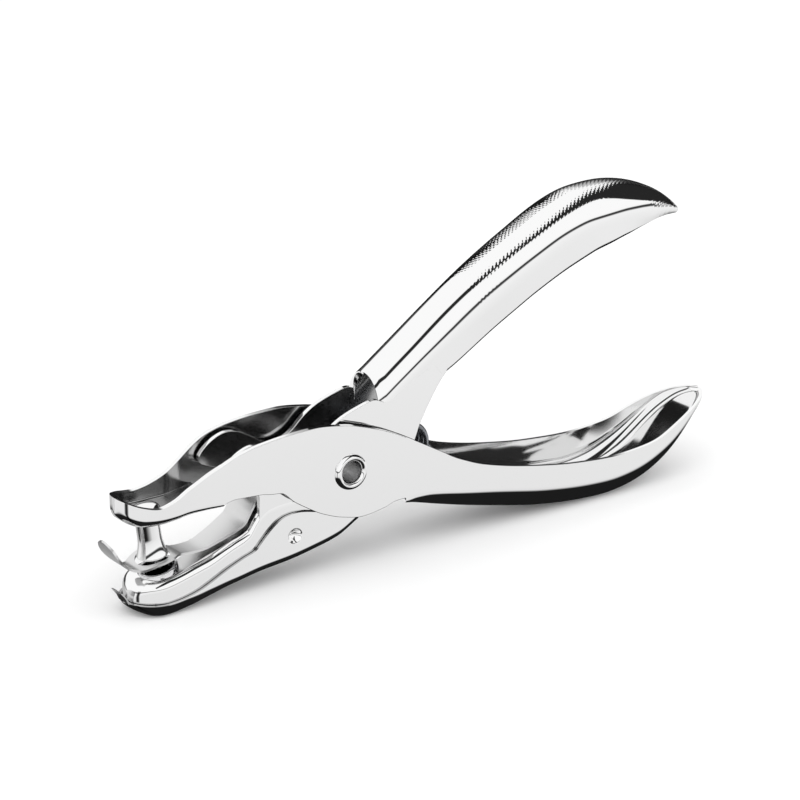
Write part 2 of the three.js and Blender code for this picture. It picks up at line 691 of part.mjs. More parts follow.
function trayStations(inset) {
  const tip = -trayNoseReach + inset;
  const xs = [
    ...endDistances(trayNoseLength - inset).map((d) => tip + d),
    ...trayStationShares.map((share) => share * trayNoseReach),
  ].sort((a, b) => a - b);
  if (inset > 0) xs.push(trayTailShare * trayNoseReach + overrun / 2);
  return xs.map((x) => {
    const round = roundEnd(x - tip, trayNoseLength - inset);
    const z = trayFloor(x) + trayNoseLift * (1 - round) + inset;
    const jaw = Math.max(lowerHalfAt(x), innerHalfWidth);
    return {
      x,
      z,
      downX: 0,
      downZ: 1,
      halfWidth: (jaw + trayGap + traySheet - inset) * round,
      depth: trayRim(x) - z + (inset > 0 ? overrun : 0),
      bendWidth: trayBend - inset,
      bendDepth: trayBend - inset,
    };
  });
}

// Rounded cone that points inward from a side face of the tray, on its hinge
const dimpleShares = [[1, 0], [0.86, 0.45], [0.6, 0.85], [0.4, 1], [0, 1]];

function dimple(radius, depth, sign, faceY) {
  const body = dimpleShares.map(([across, down]) => [across * radius, -down * depth]);
  const geometry = turned([[0, seatGap], [radius, seatGap], ...body].reverse());
  if (sign < 0) geometry.rotateX(Math.PI);
  geometry.translate(trayHinge.x, sign * faceY, trayHinge.z);
  return solid(geometry);
}

function makeChipTray() {
  let tray = channel(trayStations, traySheet);
  const face = innerHalfWidth + trayGap + traySheet;
  for (const sign of [-1, 1]) {
    tray = tray.add(dimple(dimpleRadius, dimpleDepth, sign, face - traySheet - seatGap / 2));
    tray = tray.subtract(dimple(dimplePitRadius, dimplePitDepth, sign, face));
  }
  const tab = smooth(places(thumbTabShares, trayNoseReach, trayFloorDrop), tabSteps);
  const under = tab.map(([x, z]) => [x + traySheet, z - tabSlant * traySheet]);
  const plate = sidePlate([...tab, ...under.reverse()], -thumbTabHalfWidth, thumbTabHalfWidth);
  return tray.add(plate);
}

// Return spring: one wire, from a leg under the upper handle round the coil to a leg on the
// lower handle
function springLine() {
  const centre = { x: coilReach, z: coilRise };
  const frame = crownFrame(springSeatReach, innerSheet + wireRadius + springCrownGap);
  const lowerSeat = { x: springSeatReach, z: belly(springSeatReach) + outerSheet + wireRadius
    + springFootGap };
  const tangent = (point, side) => {
    const dx = point.x - centre.x;
    const dz = point.z - centre.z;
    return Math.atan2(dz, dx) + side * Math.acos(coilRadius / Math.hypot(dx, dz));
  };
  const start = tangent(frame, 1);
  const finish = tangent(lowerSeat, -1) - Math.PI * 2;
  const turn = start - finish + Math.PI * 2 * (coilTurns - 1);
  const length = (coilPitch * turn) / (Math.PI * 2);
  const steps = Math.round((turn / (Math.PI * 2)) * stepsPerTurn);
  const line = [];
  for (let i = 0; i <= steps; i++) {
    const angle = start + (turn * i) / steps;
    line.push(new THREE.Vector3(
      centre.x + coilRadius * Math.cos(angle),
      length * (i / steps - 0.5),
      centre.z + coilRadius * Math.sin(angle)));
  }
  const upper = new THREE.Vector3(frame.x, -springSeatSpread, frame.z);
  const lower = new THREE.Vector3(lowerSeat.x, springSeatSpread, lowerSeat.z);
  return { line, upper, lower };
}

function makeReturnSpring() {
  const { line, upper, lower } = springLine();
  const first = line[0];
  const last = line[line.length - 1];
  const points = [
    upper,
    upper.clone().lerp(first, 0.5),
    ...line,
    last.clone().lerp(lower, 0.5),
    lower,
  ];
  let least = Infinity;
  for (let i = 0; i < line.length; i++) {
    for (let j = i + stepsPerTurn - springTolerance; j < line.length; j++) {
      least = Math.min(least, line[i].distanceTo(line[j]) - 2 * wireRadius);
    }
  }
  console.log(`spring: least gap to itself ${least.toFixed(2)} mm`);
  const rings = points.map((point, i) => {
    const before = points[Math.max(i - 1, 0)];
    const after = points[Math.min(i + 1, points.length - 1)];
    const along = after.clone().sub(before).normalize();
    const out = new THREE.Vector3(0, 1, 0);
    out.addScaledVector(along, -out.dot(along)).normalize();
    const up = new THREE.Vector3().crossVectors(along, out);
    return Array.from({ length: wireSides }, (_, k) => {
      const angle = (2 * Math.PI * k) / wireSides;
      return point.clone()
        .addScaledVector(out, wireRadius * Math.cos(angle))
        .addScaledVector(up, wireRadius * Math.sin(angle))
        .toArray();
    });
  });
  return skin(rings);
}

const tool = new THREE.Group();
tool.name = 'single_hole_punch';

function addPiece(name, geometry, look) {
  const mesh = new THREE.Mesh(geometry, new THREE.MeshStandardMaterial(look));
  mesh.name = name;
  tool.add(mesh);
}

addPiece('outer_lever', geometryOf(makeOuterLever()), chrome);
addPiece('inner_lever', geometryOf(makeInnerLever()), chrome);
addPiece('pivot_rivet', geometryOf(makePivotRivet()), chrome);
addPiece('punch_pin', geometryOf(makePunch()), steel);
addPiece('die_bush', geometryOf(makeDieBush()), steel);
addPiece('paper_stripper', geometryOf(makePaperStripper()), chrome);
addPiece('chip_tray', geometryOf(makeChipTray()), chrome);
addPiece('return_spring', makeReturnSpring(), steel);

// Stands the tool on the tray and the belly, with the origin below the middle of its box
const trayFootShare = -0.854;
const bellyFootShare = 0.68;
const footSpan = bellyFootShare * handleReach - trayFootShare * trayNoseReach;
tool.rotation.y = Math.atan2(trayFloorDrop - bellyDrop, footSpan);
tool.updateMatrixWorld(true);
const bounds = new THREE.Box3().setFromObject(tool, true);
tool.position.set(-(bounds.min.x + bounds.max.x) / 2, 0, -bounds.min.z);

export default tool;
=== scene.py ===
"""Looks of the single hole punch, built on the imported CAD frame.

The forms are written in millimetres from the pivot's axis, and world() puts them into the row frame's metres."""
import math

import bmesh
import bpy
from mathutils import Matrix, Vector

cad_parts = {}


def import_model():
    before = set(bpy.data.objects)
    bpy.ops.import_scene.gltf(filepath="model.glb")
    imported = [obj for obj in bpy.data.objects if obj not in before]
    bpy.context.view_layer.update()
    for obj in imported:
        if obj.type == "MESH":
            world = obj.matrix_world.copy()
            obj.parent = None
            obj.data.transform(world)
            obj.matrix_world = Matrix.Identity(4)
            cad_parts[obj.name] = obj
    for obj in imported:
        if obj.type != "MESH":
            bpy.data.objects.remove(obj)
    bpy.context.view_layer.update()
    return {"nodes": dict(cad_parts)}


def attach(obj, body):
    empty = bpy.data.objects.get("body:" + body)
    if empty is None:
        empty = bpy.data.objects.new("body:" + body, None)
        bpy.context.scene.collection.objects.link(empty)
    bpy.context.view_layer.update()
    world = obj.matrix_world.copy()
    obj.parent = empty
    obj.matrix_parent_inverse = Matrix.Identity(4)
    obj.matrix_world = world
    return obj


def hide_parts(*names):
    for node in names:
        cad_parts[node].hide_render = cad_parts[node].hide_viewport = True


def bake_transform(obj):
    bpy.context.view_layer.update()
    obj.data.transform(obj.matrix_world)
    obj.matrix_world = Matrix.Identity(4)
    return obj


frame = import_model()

# The pivot's place in the row frame, and how far the tool is turned about Y to stand
PIVOT = Vector((-0.02024644, 0.0, 0.01982457))
STAND = 0.00698343


# Materials

SCRATCH = 0.02  # how far polishing marks change the roughness either way
MARKS_PER_METRE = 160.0


def metal(name, tone, roughness):
    """Bare or plated metal of one tone (or red, green and blue), with faint polishing marks in its roughness."""
    colour = tone if isinstance(tone, tuple) else (tone, tone, tone)
    mat = bpy.data.materials.new(name)
    mat.use_nodes = True
    nodes, links = mat.node_tree.nodes, mat.node_tree.links
    shader = nodes["Principled BSDF"]
    shader.inputs["Metallic"].default_value = 1.0
    shader.inputs["Base Color"].default_value = (*colour, 1.0)
    place = nodes.new("ShaderNodeTexCoord")
    noise = nodes.new("ShaderNodeTexNoise")
    noise.inputs["Scale"].default_value = MARKS_PER_METRE
    noise.inputs["Detail"].default_value = 3.0
    links.new(place.outputs["Object"], noise.inputs["Vector"])
    span = nodes.new("ShaderNodeMapRange")
    span.inputs["To Min"].default_value = max(roughness - SCRATCH, 0.0)
    span.inputs["To Max"].default_value = roughness + SCRATCH
    links.new(noise.outputs["Fac"], span.inputs["Value"])
    links.new(span.outputs["Result"], shader.inputs["Roughness"])
    return mat


CHROME = metal("chrome_plate", 0.95, 0.035)
STEEL = metal("turned_steel", (0.80, 0.80, 0.81), 0.10)
WIRE = metal("spring_wire", (0.30, 0.31, 0.33), 0.24)
# The sheets' inner faces take the chrome at a darker tone: painted shade in the levers' and tray's hollows
SHADED_INSIDE = metal("inside_painted_shade", 0.50, 0.17)
# The lower handle's inside is the chrome a little darker: painted shade in its scoop
SHADED_SCOOP = metal("scoop_painted_shade", 0.88, 0.07)
LEAF = metal("leaf_steel", 0.80, 0.32)
# The eyelet's bore is the chrome darker and rougher: its darker tone is painted shade down the bore
SHADED_BORE = metal("bore_painted_shade", 0.85, 0.30)
KNURLED = metal("knurled_chrome", 0.95, 0.035)

# The knurl on the grip's crown, in millimetres: its pitch, depth, start along the crown, fade and half width
KNURL_PITCH, KNURL_DEPTH, KNURL_START, KNURL_FADE, KNURL_HALF = 1.0, 0.026, 25.0, 5.0, 5.2


def knurl(mat):
    """Cross knurl rolled into the crown of the grip, by the way along the crown and across it."""
    nodes, links = mat.node_tree.nodes, mat.node_tree.links

    def calc(kind, a, b=None):
        node = nodes.new("ShaderNodeMath")
        node.operation = kind
        for slot, value in zip(node.inputs, (a, b)):
            if isinstance(value, (int, float)):
                slot.default_value = value
            elif value is not None:
                links.new(value, slot)
        return node.outputs[0]

    along = nodes.new("ShaderNodeAttribute")
    along.attribute_name = "along"
    where = nodes.new("ShaderNodeTexCoord")
    split = nodes.new("ShaderNodeSeparateXYZ")
    links.new(where.outputs["Object"], split.inputs[0])
    across = calc("MULTIPLY", split.outputs["Y"], 1000.0)
    turn = math.pi / KNURL_PITCH
    right_cut = calc("SINE", calc("MULTIPLY", calc("ADD", along.outputs["Fac"], across), turn))
    left_cut = calc("SINE", calc("MULTIPLY", calc("SUBTRACT", along.outputs["Fac"], across), turn))
    wave = calc("ABSOLUTE", calc("MULTIPLY", right_cut, left_cut))
    start = calc("MULTIPLY", calc("SUBTRACT", along.outputs["Fac"], KNURL_START), 1 / KNURL_FADE)
    edge = calc("SUBTRACT", KNURL_HALF, calc("ABSOLUTE", across))
    fade = calc("MINIMUM", calc("MAXIMUM", calc("MINIMUM", start, edge), 0.0), 1.0)
    bump = nodes.new("ShaderNodeBump")
    bump.inputs["Distance"].default_value = KNURL_DEPTH / 1000
    bump.inputs["Strength"].default_value = 1.0
    links.new(calc("MULTIPLY", wave, fade), bump.inputs["Height"])
    links.new(bump.outputs["Normal"], nodes["Principled BSDF"].inputs["Normal"])


knurl(KNURLED)

LOOKS = {
    "outer_lever": CHROME,
    "inner_lever": CHROME,
    "pivot_rivet": CHROME,
    "punch_pin": CHROME,
    "die_bush": STEEL,
    "paper_stripper": CHROME,
    "chip_tray": CHROME,
    "return_spring": WIRE,
}
for name, look in LOOKS.items():
    node = frame["nodes"][name]
    node.data.materials.clear()
    node.data.materials.append(look)


# Sizes of the forms, in millimetres from the pivot: x to the handles, z up
JAW, HANDLE = 46.9, 90.2  # how far the jaw and the lower handle reach
RISE, DROP = 10.3, 19.4  # height of the cheeks over the pivot, depth of the lower handle under it
SHEET, INNER, TRAY_SHEET = 1.1, 1.0, 0.5  # the three sheets: outer lever, inner lever and tray
CROWN_X, CROWN_Z = 83.3, 44.1  # reach and height of the grip
LOWER_NOSE = JAW - 2.0
PUNCH_X = JAW - 7.7
DIE_X = PUNCH_X - 1.1
TRAY_GAP = 0.65  # how far the tray's outside lies beyond the lower jaw's
TRAY_NOSE = LOWER_NOSE + TRAY_GAP
FLOOR_DROP = 20.1
HINGE = (-11.6, -10.8)  # the tray's dimples
PUNCH_FOOT, LEAF_DROP = -9.7, 10.25  # the punch's end and the leaf's lowest point, from the pivot's height
PUNCH_TILT, DIE_TILT = math.radians(7.6), math.radians(14.2)
NOSE_ROUND, TAIL_ROUND, GRIP_ROUND = 6.0, 22.0, 26.0  # lengths over which the sheets' ends close
CHEEK_HALF, INNER_HALF = 7.1, 4.985  # half widths over the outer and the inner cheeks


def curve_of(shares, xs, zs):
    """Monotone cubic through [x share, z share] points."""
    pts = sorted((x * xs, z * zs) for x, z in shares)
    px = [p[0] for p in pts]
    pz = [p[1] for p in pts]
    n = len(pts)
    slope = []
    for i in range(n):
        if i in (0, n - 1):
            a, b = (0, 1) if i == 0 else (n - 2, n - 1)
            slope.append((pz[b] - pz[a]) / (px[b] - px[a]))
            continue
        before = (pz[i] - pz[i - 1]) / (px[i] - px[i - 1])
        after = (pz[i + 1] - pz[i]) / (px[i + 1] - px[i])
        slope.append(0.0 if before * after <= 0 else 2 * before * after / (before + after))

    def at(x):
        if x <= px[0]:
            return pz[0] + slope[0] * (x - px[0])
        if x >= px[-1]:
            return pz[-1] + slope[-1] * (x - px[-1])
        i = 0
        while x > px[i + 1]:
            i += 1
        span = px[i + 1] - px[i]
        t = (x - px[i]) / span
        ease = t * t * (3 - 2 * t)
        return (pz[i] + (pz[i + 1] - pz[i]) * ease + t * (1 - t) ** 2 * slope[i] * span
                + t * t * (t - 1) * slope[i + 1] * span)
    return at


def eased(curve, reach):
    """The curve averaged over a short reach, so that its bend changes gradually."""
    weights = [1 - abs(k) / 7 for k in range(-6, 7)]
    return lambda x: sum(w * curve(x + k * reach / 7) for w, k in zip(weights, range(-6, 7))) / sum(weights)


def smooth(value, low, high):
    """0 below low, 1 above high, and an even ease between them."""
    t = min(max((value - low) / (high - low), 0.0), 1.0)
    return t * t * (3 - 2 * t)


def round_end(distance, length, power=2.0):
    """Share of the full width at a distance from a rounded end."""
    share = min(max(distance / length, 0.0), 1.0)
    return math.sqrt(max(1 - (1 - share) ** power, 0.0))


def end_distances(length, steps):
    """Distances from a rounded end, closer together near it."""
    return [length * (1 - math.cos(math.pi / 2 * (i + 0.12) / (steps - 0.88))) for i in range(steps)]


def span(a, b, step):
    """Even values from a to b, about a step apart."""
    n = max(int(round(abs(b - a) / step)), 1)
    return [a + (b - a) * i / n for i in range(n + 1)]


def spline(points, per):
    """Centripetal Catmull-Rom line through (x, z) points."""
    pts = [Vector((p[0], p[1])) for p in points]
    pts = [pts[0] * 2 - pts[1]] + pts + [pts[-1] * 2 - pts[-2]]
    out = []
    for k in range(1, len(pts) - 2):
        p0, p1, p2, p3 = pts[k - 1:k + 3]
        t0 = 0.0
        t1 = t0 + max((p1 - p0).length, 1e-6) ** 0.5
        t2 = t1 + max((p2 - p1).length, 1e-6) ** 0.5
        t3 = t2 + max((p3 - p2).length, 1e-6) ** 0.5
        for j in range(per):
            t = t1 + (t2 - t1) * j / per
            a1 = p0 * ((t1 - t) / (t1 - t0)) + p1 * ((t - t0) / (t1 - t0))
            a2 = p1 * ((t2 - t) / (t2 - t1)) + p2 * ((t - t1) / (t2 - t1))
            a3 = p2 * ((t3 - t) / (t3 - t2)) + p3 * ((t - t2) / (t3 - t2))
            b1 = a1 * ((t2 - t) / (t2 - t0)) + a2 * ((t - t0) / (t2 - t0))
            b2 = a2 * ((t3 - t) / (t3 - t1)) + a3 * ((t - t1) / (t3 - t1))
            c = b1 * ((t2 - t) / (t2 - t1)) + b2 * ((t - t1) / (t2 - t1))
            out.append((c.x, c.y))
    out.append((pts[-2].x, pts[-2].y))
    return out


COS, SIN = math.cos(STAND), math.sin(STAND)


def world(p):
    """A point in millimetres from the pivot, in the row frame's metres."""
    x, y, z = p
    return (PIVOT.x + (x * COS + z * SIN) * 0.001, y * 0.001, PIVOT.z + (-x * SIN + z * COS) * 0.001)


def add_object(name, mesh):
    obj = bpy.data.objects.new(name, mesh)
    bpy.context.collection.objects.link(obj)
    return obj


def shade_smooth(mesh, sharp):
    for poly in mesh.polygons:
        poly.use_smooth = True
    mesh.set_sharp_from_angle(angle=math.radians(sharp))


def round_edges(obj, width, angle):
    """Round edges sharper than an angle in degrees, by a width in millimetres."""
    mod = obj.modifiers.new("edge", "BEVEL")
    mod.width = width * 0.001
    mod.segments = 3
    mod.limit_method = "ANGLE"
    mod.angle_limit = math.radians(angle)
    mod.harden_normals = True


def mesh_object(name, verts, faces, look, node, body, bevel=0.0, sharp=32.0, kinds=None, inside=None, along=None):
    """A piece of the object, that stands for its CAD node and rides on its body.

    kinds is 1 for each face that takes the inside look, and along the way along the crown at each vertex."""
    merge = 0.00001
    mesh = bpy.data.meshes.new(name)
    mesh.from_pydata([world(v) for v in verts], [], faces)
    mesh.materials.append(look)
    if inside:
        mesh.materials.append(inside)
        mesh.polygons.foreach_set("material_index", kinds)
    if along:
        mesh.attributes.new("along", "FLOAT", "POINT").data.foreach_set("value", along)
    work = bmesh.new()
    work.from_mesh(mesh)
    bmesh.ops.remove_doubles(work, verts=work.verts, dist=merge)
    bmesh.ops.dissolve_degenerate(work, dist=merge * 0.5, edges=work.edges)
    bmesh.ops.recalc_face_normals(work, faces=work.faces)
    work.to_mesh(mesh)
    work.free()
    shade_smooth(mesh, sharp)
    obj = add_object(name, mesh)
    if bevel:
        round_edges(obj, bevel, sharp + 8)
    if body:
        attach(obj, body)
    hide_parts(node)
    return obj


LATHE_STEPS = 96


def lathe(profile, tilt, foot, steps=LATHE_STEPS, along_y=False):
    """Turn (radius, height) points about an axis through foot, tilted from upright or lying along Y."""
    verts, faces = [], []
    m = len(profile)
    for k in range(steps):
        a = 2 * math.pi * k / steps
        for r, h in profile:
            if along_y:
                verts.append((foot[0] + r * math.cos(a), h, foot[1] + r * math.sin(a)))
                continue
            x, y, z = r * math.cos(a), r * math.sin(a), h
            verts.append((foot[0] + x * math.cos(tilt) - z * math.sin(tilt), y,
                          foot[1] + x * math.sin(tilt) + z * math.cos(tilt)))
    for k in range(steps):
        n = (k + 1) % steps
        for j in range(m - 1):
            faces.append((k * m + j, k * m + j + 1, n * m + j + 1, n * m + j))
    return verts, faces


def apply_cut(obj, verts, faces):
    """Take a closed form out of a mesh object for good."""
    mesh = bpy.data.meshes.new("cut")
    mesh.from_pydata([world(v) for v in verts], [], faces)
    work = bmesh.new()
    work.from_mesh(mesh)
    bmesh.ops.remove_doubles(work, verts=work.verts, dist=1e-6)
    bmesh.ops.recalc_face_normals(work, faces=work.faces)
    work.to_mesh(mesh)
    work.free()
    cutter = add_object("cut", mesh)
    hole = obj.modifiers.new("hole", "BOOLEAN")
    hole.object, hole.operation, hole.solver = cutter, "DIFFERENCE", "EXACT"
    bpy.context.view_layer.update()
    obj.data = bpy.data.meshes.new_from_object(obj.evaluated_get(bpy.context.evaluated_depsgraph_get()))
    obj.modifiers.remove(hole)
    shade_smooth(obj.data, 35)
    bpy.data.objects.remove(cutter)


def half_section(half, depth, wide, deep, fullness=1.0, bends=14, rows=14):
    """(across, down) points of a folded sheet from its web's middle, round the bend, to the flange's edge."""
    wide, deep = min(wide, half), min(deep, depth)
    web = half - wide
    pts = [(web * i / 16, 0.0) for i in range(16)]
    for i in range(bends + 1):
        a = math.pi / 2 * i / bends
        across = math.sin(a) ** (1 / fullness)
        down = 1 - max(math.cos(a), 0.0) ** (1 / fullness)
        pts.append((half - wide * (1 - across), deep * down))
    for i in range(1, rows + 1):
        pts.append((half, deep + (depth - deep) * i / rows))
    return pts


def full_section(half_points):
    """The half section and its mirror image, from edge to edge."""
    left = [(-a, d) for a, d in reversed(half_points[1:])]
    return left + list(half_points)


def shell(outer, inner, skip=None, front="all", rear="all"):
    """Sheet between two grids of rings, closed along its rims.

    Each end is closed all round, on its web, or not ("none"). Returns vertices, faces and each face's kind, which
    is 1 inside and 0 outside and on the rims."""
    n, m = len(outer), len(outer[0])
    verts = [p for ring in outer for p in ring] + [p for ring in inner for p in ring]
    off = n * m
    faces, kinds = [], []
    for i in range(n - 1):
        for j in range(m - 1):
            a, b = i * m + j, i * m + j + 1
            quad = (a, b, b + m, a + m)
            if skip and skip([verts[k] for k in quad]):
                continue
            faces += [quad, tuple(off + k for k in reversed(quad))]
            kinds += [0, 1]
        for j in (0, m - 1):
            a = i * m + j
            faces.append((a, a + m, off + a + m, off + a))
            kinds.append(0)
    for i, ends in ((0, front), (n - 1, rear)):
        side = max(abs(p[1]) for p in outer[i]) - 0.0001
        for j in range(m - 1):
            on_side = abs(outer[i][j][1]) > side and abs(outer[i][j + 1][1]) > side
            if ends == "none" or (ends == "web" and on_side):
                continue
            a = i * m + j
            faces.append((a, a + 1, off + a + 1, off + a))
            kinds.append(0)
    return verts, faces, kinds


# Outer lever

# Curves of shares of the sizes: the flanges' edge in front and to the rear, and the handle's belly
rim_front = curve_of([(-1, .31), (-.94, .21), (-.86, .14), (-.81, .175), (-.715, .35), (-.61, .62), (-.51, .835),
                      (-.41, .935), (-.275, .99), (-.17, 1), (-.02, .91), (.076, .78), (.175, .61), (.276, .38),
                      (.41, .03), (.53, -.29)], JAW, RISE)
rim_rear = curve_of([(.278, -.155), (.33, -.26), (.456, -.407), (.59, -.505), (.7, -.54), (.77, -.52), (.81, -.495),
                     (.875, -.38), (.93, -.29), (1, -.2)], HANDLE, DROP)
belly = curve_of([(.1, -.44), (.14, -.475), (.21, -.59), (.316, -.735), (.423, -.855), (.503, -.93), (.62, -.99),
                  (.68, -1), (.744, -.965), (.803, -.88), (.851, -.755), (.896, -.59), (.93, -.46), (.965, -.35),
                  (1, -.27)], HANDLE, DROP)
jaw_floor = curve_of([(-1, -1.1), (-.85, -1.08), (-.72, -.87), (-.585, -.58)], JAW, 1.8)
handle_half = curve_of([(.14, .855), (.18, .855), (.33, .9), (.5, .965), (.65, 1), (.72, 1), (1, 1)], HANDLE, 8.3)
waist_half = curve_of([(-1, 1), (-.88, 1), (-.79, .94), (-.72, .87), (-.66, .92), (-.58, 1.06), (-.49, 1.15),
                       (-.4, 1.183)], JAW, 6.0)
jaw_bend = curve_of([(-1, 1.8), (-.9, 1.5), (-.8, 1.1), (-.585, .5)], JAW, 1)
handle_bend = curve_of([(.1, .04), (.14, .1), (.17, .34), (.21, .6), (.27, .76), (.4, .96), (.5, 1), (.8, 1),
                        (.9, .75), (1, .5)], HANDLE, 1)
window = curve_of([(-.6, -.13), (-.585, -.08), (-.57, -.04), (-.53, 0), (-.42, -.02), (-.375, -.06), (-.328, -.09),
                   (-.27, -.31), (-.19, -.55), (-.14, -.68), (-.04, -.855), (.06, -.94), (.16, -.885), (.22, -.81),
                   (.262, -.8), (.29, -.88)], JAW, RISE)
JAW_END, HANDLE_START = -0.585 * JAW, 0.14 * HANDLE
belly, rim_rear, handle_half = eased(belly, 3.0), eased(rim_rear, 3.0), eased(handle_half, 3.0)


def rim(x):
    """Height of the flanges' edge, eased where the handle's curve takes over."""
    share = smooth(x, 21.5, 26.5)
    if share in (0.0, 1.0):
        return rim_rear(x) if share else rim_front(x)
    return rim_front(x) * (1 - share) + rim_rear(x) * share


def outer_half(x, inset):
    """Half the outer lever's width, with its round nose and tail."""
    half = CHEEK_HALF
    if x < -0.4 * JAW:
        half = waist_half(x)
    elif x > 0.18 * HANDLE:
        half = max(handle_half(x), CHEEK_HALF)
    nose = round_end(x + JAW - inset, NOSE_ROUND - inset)
    tail = round_end(HANDLE - inset - x, TAIL_ROUND - inset, 2.4)
    return (half - inset) * nose * tail


def jaw_ring(x, inset):
    """The upper jaw's section: its web below, its flanges up."""
    tip = -JAW + inset
    z = jaw_floor(x) + 2.4 * (1 - round_end(x - tip, 3.6 - inset)) + inset
    bend = max(jaw_bend(x) - inset, 0.25)
    pts = full_section(half_section(outer_half(x, inset), max(rim(x) - z, 0.05), bend, bend))
    return [(x, y, z + d) for y, d in pts]


def handle_ring(x, inset):
    """The lower handle's section. Its sheet looks thinner toward the end than at the cheeks."""
    inset *= 1 - 0.3 * min(max((x - 18.0) / 25.0, 0.0), 1.0)
    z = belly(x) + inset
    wide, deep = 4.2 * handle_bend(x), 4.5 * handle_bend(x)
    least = 0.15 * handle_bend(x)
    wide, deep = max(wide - inset, least), max(deep - inset, least)
    pts = full_section(half_section(outer_half(x, inset), max(rim(x) - z, 0.05), wide, deep))
    return [(x, y, z + d) for y, d in pts]


def jaw_xs(inset):
    nose = [-JAW + inset + d for d in end_distances(NOSE_ROUND - inset, 26)]
    return nose + span(-JAW + NOSE_ROUND + 0.3, JAW_END, 0.4)


def handle_xs(inset):
    tail = [HANDLE - inset - d for d in end_distances(TAIL_ROUND - inset, 44)]
    return span(HANDLE_START, HANDLE - TAIL_ROUND - 0.3, 0.7) + tail[::-1]


def rings(ring, xs, sheet):
    """The outer and the inner rings of a folded sheet."""
    return [ring(x, 0) for x in xs(0)], [ring(x, sheet) for x in xs(sheet)]


verts, faces, kinds = shell(*rings(jaw_ring, jaw_xs, SHEET), rear="web")
mesh_object("jaw_shell", verts, faces, CHROME, "outer_lever", "outer", bevel=0.12, kinds=kinds, inside=SHADED_INSIDE)
verts, faces, kinds = shell(*rings(handle_ring, handle_xs, SHEET), front="web")
mesh_object("handle_shell", verts, faces, CHROME, "outer_lever", "outer", bevel=0.3, kinds=kinds, inside=SHADED_SCOOP)


def round_eyelet(quad):
    """Whether a face lies under the eyelet's rim, where the cheeks have their hole."""
    return max(math.hypot(x, z) for x, y, z in quad) < 3.4


def cheek_strip(sign):
    """An outer cheek, from its lower edge to the rim."""
    outer, inner = [], []
    for x in span(JAW_END, HANDLE_START, 0.4):
        low, high = window(x), rim(x)
        rows = [low + (high - low) * t / 40 for t in range(41)]
        y = outer_half(x, 0)
        outer.append([(x, sign * y, z) for z in rows])
        inner.append([(x, sign * (y - SHEET), z) for z in rows])
    return shell(outer, inner, round_eyelet, front="none", rear="none")


for side, sign in (("near", -1), ("far", 1)):
    verts, faces, kinds = cheek_strip(sign)
    mesh_object("cheek_" + side, verts, faces, CHROME, "outer_lever", "outer", bevel=0.12, kinds=kinds, inside=SHADED_INSIDE)

# Inner lever: the upper handle

crown = curve_of([(.03, .265), (.09, .36), (.172, .469), (.27, .599), (.37, .721), (.508, .86), (.616, .957),
                  (.687, .993), (.768, 1), (.832, .984), (.9, .939), (.952, .88), (1, .798)], CROWN_X, CROWN_Z)
grip_half = curve_of([(0, .76), (.25, .76), (.45, .85), (.65, .96), (.75, 1), (1, 1)], CROWN_X, 6.6)
shoulder = curve_of([(.04, .74), (.1, .72), (.17, .73), (.23, .79), (.29, .87), (.36, .92), (.44, .92), (.52, .9),
                     (.65, .92), (.75, .88), (.85, .85), (.92, .8), (1, .8)], CROWN_X, 7.7)
fullness = curve_of([(0, .8), (.2, .84), (.35, .92), (.5, 1), (1, 1)], CROWN_X, 1.25)
flange = curve_of([(.1, 6.2), (.16, 8.6), (.22, 10.3), (.28, 10.7), (.34, 10.85), (.41, 10.9), (.46, 10.75),
                   (.52, 10.8), (.6, 11.1), (.64, 11), (.7, 10.6), (.744, 10.05), (.807, 9.15), (.861, 7.9),
                   (.909, 6.1), (.945, 4.3), (.966, 2.9), (1, .8)], CROWN_X, 1)
crown, grip_half, shoulder, flange = (eased(c, 4.0) for c in (crown, grip_half, shoulder, flange))
FRONT = 7.8  # the grip's open front end, which is cut upright
GRIP_HALF = 4.97  # half its width there, a hair inside the cheeks' faces


def under_crown(x):
    """Unit direction (x, z) from the crown's line straight into the grip."""
    step = CROWN_X / 400
    slope = (crown(x + step) - crown(x - step)) / (2 * step)
    size = math.hypot(1, slope)
    return slope / size, -1 / size


def grip_ring(x, inset):
    """The grip's section: upright at the front end, and square to the crown from 9 mm behind it."""
    nx, nz = under_crown(x)
    dx = nx * smooth(x, FRONT, FRONT + 9.0)
    dz = -math.sqrt(1 - dx * dx)
    lean = dx * nx + dz * nz
    tail = round_end(CROWN_X - inset - x, GRIP_ROUND - inset, 2.5)
    wide = min(max((x - 14.0) / 8.0, 0.0), 1.0)
    half = (GRIP_HALF + (max(grip_half(x), 5.0) - GRIP_HALF) * wide - inset) * tail
    start = (x + nx * inset, crown(x) + nz * inset)
    depth = flange(x) - inset * (1 - tail)
    bend = min(max(shoulder(x) - inset, 0.3 * shoulder(x)) / lean, depth * 0.97)
    pts = full_section(half_section(half, max(depth, 0.3), half, bend, fullness(x), bends=26, rows=16))
    return [(start[0] + dx * d, y, start[1] + dz * d) for y, d in pts]


def grip_xs(inset):
    tail = [CROWN_X - inset - d for d in end_distances(GRIP_ROUND - inset, 56)]
    return span(FRONT, CROWN_X - GRIP_ROUND - 0.3, 0.55) + tail[::-1]


outer, inner = rings(grip_ring, grip_xs, INNER)
verts, faces, kinds = shell(outer, inner)
way, middle, along = 0.0, len(outer[0]) // 2, []
for k, ring in enumerate(outer):
    way += (Vector(ring[middle]) - Vector(outer[max(k - 1, 0)][middle])).length
    along += [way] * len(ring)
mesh_object("grip_shell", verts, faces, KNURLED, "inner_lever", "inner", bevel=0.14, sharp=40, kinds=kinds,
            inside=SHADED_INSIDE, along=along + along)

# Inner lever: its cheeks

